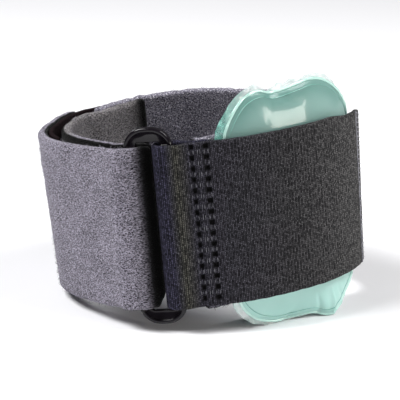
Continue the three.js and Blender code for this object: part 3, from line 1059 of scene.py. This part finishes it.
def film_finish():
    """Soft green film. Painted shade darkens it by the weld's top, in a greener tone, and painted light
    brightens it towards the lower end and darkens it towards the upper end.
    """
    finish = Finish("green film")
    place = finish.place()
    clouds = finish.ramp(finish.noise(place, 60), (0.3, (0.3, 0.5, 0.46)), (0.7, (0.36, 0.57, 0.53)))
    # Painted shade by the weld's top, with a greener tone.
    weld_shaded = finish.mix(finish.attribute("painted_weld_shade"), clouds, (0.62, 0.74, 0.72, 1), "MULTIPLY")
    # Painted light: the lower end is brighter, as if the white table showed through the film, and the upper
    # end darker.
    painted_height_light = finish.span(finish.part(place, "Z"), 0.005, 0.06, 1.26, 0.8)
    ripples = finish.noise(place, 110, 3, Roughness=0.4)
    return finish.shade(
        Base_Color=finish.dim(weld_shaded, painted_height_light),
        Roughness=0.3,
        Normal=finish.bump(ripples, 0.06, 0.0005),
        IOR=1.45,
        Specular_IOR_Level=0.15,
        Coat_Weight=0.33,
        Coat_Roughness=0.07,
        Alpha=0.86,
        Subsurface_Weight=0.4,
        Subsurface_Radius=(0.004, 0.006, 0.005),
    )


weld_shade_out = (0.8, 0.95)
weld_shade_up = (0.2, 0.75)
bm = bmesh.new()
bmesh.ops.create_uvsphere(bm, u_segments=260, v_segments=72, radius=1)
painted_weld_shade = bm.verts.layers.float.new("painted_weld_shade")
for v in bm.verts:
    flat = math.hypot(v.co.x, v.co.y)
    # Where the painted shade by the weld's top falls.
    v[painted_weld_shade] = smoothstep(flat, *weld_shade_out) * smoothstep(-v.co.y, *weld_shade_up)
    around = math.atan2(v.co.y, v.co.x) / math.tau
    v.co = pouch_point(around, min(flat, 1), 1 if v.co.z > 0 else -1)
bmesh.ops.recalc_face_normals(bm, faces=bm.faces)
for face in bm.faces:
    face.smooth = True
bladder = new_object("pouch_bladder", bm)
scene_piece(bladder, film_finish(), "aircell")

# The weld and the flange.
# The weld is a fat bright bead where both films are melted together. Outside it the trimmed film is
# clear, stiff and crinkled, wide at the left and in bumps along the top.
# Columns of the flange: share of the way round the weld, width in millimetres.
flange_rows = [
    (0, 3.6), (0.04, 3.6), (0.087, 2.9), (0.13, 2.2), (0.174, 1.1), (0.22, 0.8), (0.28, 0.5), (0.5, 0.5),
    (0.59, 0.6), (0.61, 0.8), (0.626, 1.3), (0.636, 1.2), (0.648, 1.8), (0.657, 2.0), (0.67, 1.7),
    (0.69, 1.9), (0.705, 1.8), (0.716, 1.6), (0.727, 1.0), (0.738, 1.8), (0.747, 2.3), (0.757, 1.6),
    (0.768, 2.3), (0.78, 1.6), (0.795, 0.6), (0.807, 1.5), (0.822, 2.6), (0.84, 2.4), (0.87, 2.4),
    (0.91, 2.9), (0.95, 3.5), (1, 3.6),
]
bead_radius = 0.5
bead_out = 0.15
bead_flatness = 0.8
flange_half = 0.14


def flange_edge(turn):
    turns, widths = zip(*flange_rows)
    return float(np.interp(turn % 1, turns, widths))


def ring_mesh(name, turns, section, place):
    """A closed ring round the weld: place gives the point for a turn and a spot of the section."""
    bm = bmesh.new()
    bmesh.ops.create_grid(bm, x_segments=turns, y_segments=len(section), size=1)
    for v in bm.verts:
        turn = (v.co.x + 1) / 2
        spot = section[round((v.co.y + 1) / 2 * len(section)) % len(section)]
        v.co = place(turn % 1, spot)
    bmesh.ops.remove_doubles(bm, verts=bm.verts, dist=1e-7)
    bmesh.ops.recalc_face_normals(bm, faces=bm.faces)
    for face in bm.faces:
        face.smooth = True
    return new_object(name, bm)


def bead_place(turn, angle):
    radius = bead_radius * (1 + 0.25 * noise.noise(Vector((turn * 60, 0, 0))))
    lift = radius * bead_flatness * math.sin(angle)
    return pouch_point(turn, 1, 1, bead_out + radius * math.cos(angle), lift)


def flange_place(turn, spot):
    share, side = spot
    width = flange_edge(turn)
    crinkle = noise.noise(Vector((turn * 70, share * 2, 5))) * 0.55
    crinkle += noise.noise(Vector((turn * 23, 0, 9))) * 0.5
    sideways = bead_radius * 0.5 + share * max(width - bead_radius * 0.5, 0.1)
    return pouch_point(turn, 1, 1, sideways, side * flange_half - 0.1 + crinkle * share * min(width, 2))


def bead_finish():
    finish = Finish("melted weld")
    melt = finish.noise(finish.place(), 700)
    return finish.shade(
        Base_Color=finish.ramp(melt, (0, (0.36, 0.66, 0.58)), (1, (0.66, 0.9, 0.84))),
        Roughness=0.15,
        Coat_Weight=1.0,
        Coat_Roughness=0.05,
        Normal=finish.bump(melt, 0.3, 0.0003),
        Alpha=0.9,
    )


def flange_finish():
    """Clear film, green at the left where it lies over the pouch's shade."""
    finish = Finish("clear trimmed film")
    place = finish.place()
    melt = finish.noise(place, 350, 3)
    clear = finish.ramp(melt, (0.35, (0.5, 0.66, 0.63)), (0.65, (0.82, 0.87, 0.87)))
    green = finish.span(finish.part(place, "X"), 0.012, 0.004)
    return finish.shade(
        Base_Color=finish.mix(green, clear, (0.35, 0.8, 0.7, 1), "MULTIPLY"),
        Roughness=0.25,
        Coat_Weight=0.6,
        Coat_Roughness=0.15,
        Normal=finish.bump(melt, 0.5, 0.0005),
        Alpha=0.42,
    )


bead_section = [math.tau * k / 10 for k in range(10)]
bead = ring_mesh("pouch_weld", 420, bead_section, bead_place)
scene_piece(bead, bead_finish(), None)
seam_section = [math.tau * k / 6 for k in range(6)]
seam_share = 0.958
seam_width = 0.003
seam_height = 0.16


def seam_place(turn, angle):
    share = seam_share + seam_width * math.cos(angle)
    return pouch_point(turn, share, 1, 0, seam_height * math.sin(angle))


def seam_finish():
    finish = Finish("pressed seam")
    melt = finish.noise(finish.place(), 500)
    return finish.shade(
        Base_Color=finish.ramp(melt, (0, (0.11, 0.32, 0.27)), (1, (0.25, 0.47, 0.42))),
        Roughness=0.25,
        Coat_Weight=0.6,
        Coat_Roughness=0.08,
    )


seam = ring_mesh("pouch_inner_seam", 380, seam_section, seam_place)
scene_piece(seam, seam_finish(), None)
flange_section = [(k / 5, 1) for k in range(6)] + [(k / 5, -1) for k in range(5, -1, -1)]
flange = ring_mesh("pouch_flange", 520, flange_section, flange_place)
scene_piece(flange, flange_finish(), None)

# The threads.
# Black polyester thread. Two columns of square stitches pull the elastic in and hold elastic, buckle
# fold and lining, a line of stitches holds the lap, and a lighter overlock binds the elastic's cut end.
def stitch(bm, start, end, radius):
    """One stitch: a thin capsule between two points of the strap's own frame."""
    a, b = placing @ Vector(start), placing @ Vector(end)
    size = Matrix.Diagonal((radius * MM, radius * MM, (b - a).length / 2 + radius * MM, 1))
    aim = (b - a).to_track_quat("Z", "Y").to_matrix().to_4x4()
    place = Matrix.Translation((a + b) / 2) @ aim @ size
    bmesh.ops.create_uvsphere(bm, u_segments=8, v_segments=6, radius=1, matrix=place)


def on_elastic(along, up, lift):
    leaning = elastic_lean(along) * (1 + 2 * up / strap_width)
    at, _ = on_loop(along, elastic_offset(along) + leaning + elastic_thickness / 2 + lift)
    return at.x, at.y, up


def thread_finish(name, dark, light):
    finish = Finish(name)
    twist = finish.add("ShaderNodeTexWave", Vector=finish.place(), Scale=600, Distortion=4).outputs["Fac"]
    return finish.shade(
        Base_Color=finish.ramp(twist, (0, dark), (1, light)),
        Roughness=0.6,
        Normal=finish.bump(twist, 0.5, 0.0001),
    )


def finish_threads(name, bm, material):
    for face in bm.faces:
        face.smooth = True
    scene_piece(new_object(name, bm), material, None)


grey_thread = thread_finish("grey thread", (0.04, 0.04, 0.05), (0.15, 0.15, 0.17))
bar_radius = 0.12
bar_lift = -0.03
between = sum(column_spots) / 2
# Columns: where a stitch lies along the strap from the place "stitches", and half its length.
stitch_bars = [(spot + side, 0.5) for spot in column_spots for side in (-0.6, 0.6)]
stitch_bars += [(between - 0.35, 0.7), (between + 0.35, 0.7)]
bm = bmesh.new()
for row in range(pit_rows - 1):
    up = pit_top - (row + 0.5) * pit_pitch
    for spot, half in stitch_bars:
        along = walk_to("stitches") + spot
        low, high = on_elastic(along, up - half, bar_lift), on_elastic(along, up + half, bar_lift)
        stitch(bm, low, high, bar_radius)
finish_threads("stitch_bars", bm, grey_thread)

overlock_pitch = 1.55
overlock_reach = 3.4
overlock_lift = 0.07
bm = bmesh.new()
for k in range(round(strap_width / overlock_pitch) - 1):
    up = strap_width / 2 - (k + 0.8) * overlock_pitch
    droop = end_droop * smoothstep(up, 0, strap_width / 2)
    inner = on_elastic(elastic_end - overlock_reach, up + 0.4 - 0.5 * droop, overlock_lift)
    linked = up + 0.4 - overlock_pitch - 0.5 * droop
    chain = on_elastic(elastic_end - overlock_reach, linked, overlock_lift)
    outer = on_elastic(elastic_end + 0.05, up - 0.7 - droop, 0.03)
    under = on_elastic(elastic_end + 0.15, up - 0.8 - droop, -elastic_thickness)
    for start, end, radius in ((inner, outer, 0.24), (outer, under, 0.2), (inner, chain, 0.22)):
        stitch(bm, start, end, radius)
light_thread = thread_finish("overlock thread", (0.09, 0.09, 0.11), (0.3, 0.3, 0.34))
finish_threads("overlock_threads", bm, light_thread)

lap_stitch = 2.4
lap_gap = 0.7
lap_margin = 1.5
lap_inset = 6.2
lap_radius = 0.22
lap_line = walk_to("lap edge") + lap_inset
at, _ = on_loop(lap_line, pull_inner(lap_line) - pad_thickness / 2 + 0.05)
bm = bmesh.new()
for k in range(int((pull_width - 2 * lap_margin) / (lap_stitch + lap_gap))):
    up = pull_width / 2 - lap_margin - k * (lap_stitch + lap_gap)
    stitch(bm, (at.x, at.y, up), (at.x, at.y, up - lap_stitch), lap_radius)
dark_thread = thread_finish("dark grey thread", (0.012, 0.012, 0.013), (0.03, 0.03, 0.03))
finish_threads("lap_stitches", bm, dark_thread)
